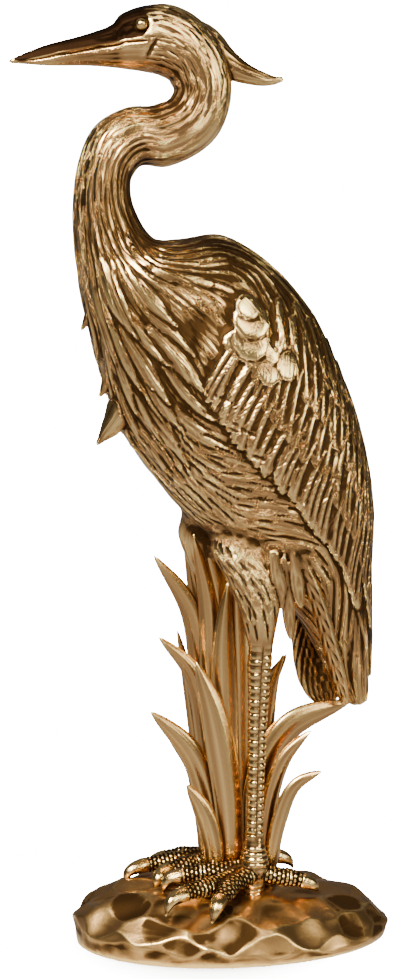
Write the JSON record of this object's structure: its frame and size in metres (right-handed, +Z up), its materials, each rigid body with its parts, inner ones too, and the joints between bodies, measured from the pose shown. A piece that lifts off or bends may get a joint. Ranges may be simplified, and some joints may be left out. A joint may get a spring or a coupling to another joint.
{
  "type": "heron figurine",
  "caption": "Standing heron figurine with an S-shaped neck and long bill, cast in one piece with reeds and a faceted rock base.",
  "frame": {"origin": "middle of the footprint, on the ground under the pads", "axes": "+Z up; the bird looks along -X, and its left side is towards -Y"},
  "size_m": [0.185, 0.1074, 0.4503],
  "materials": {
    "antique_gold": "polished antique gold paint with a dark brown patina in the hollows",
    "rubber": "matt black"
  },
  "bodies": {
    "root": {"heron_casting": "antique_gold", "front_left_pad": "rubber", "front_right_pad": "rubber", "back_left_pad": "rubber", "back_right_pad": "rubber"}
  },
  "joints": []
}
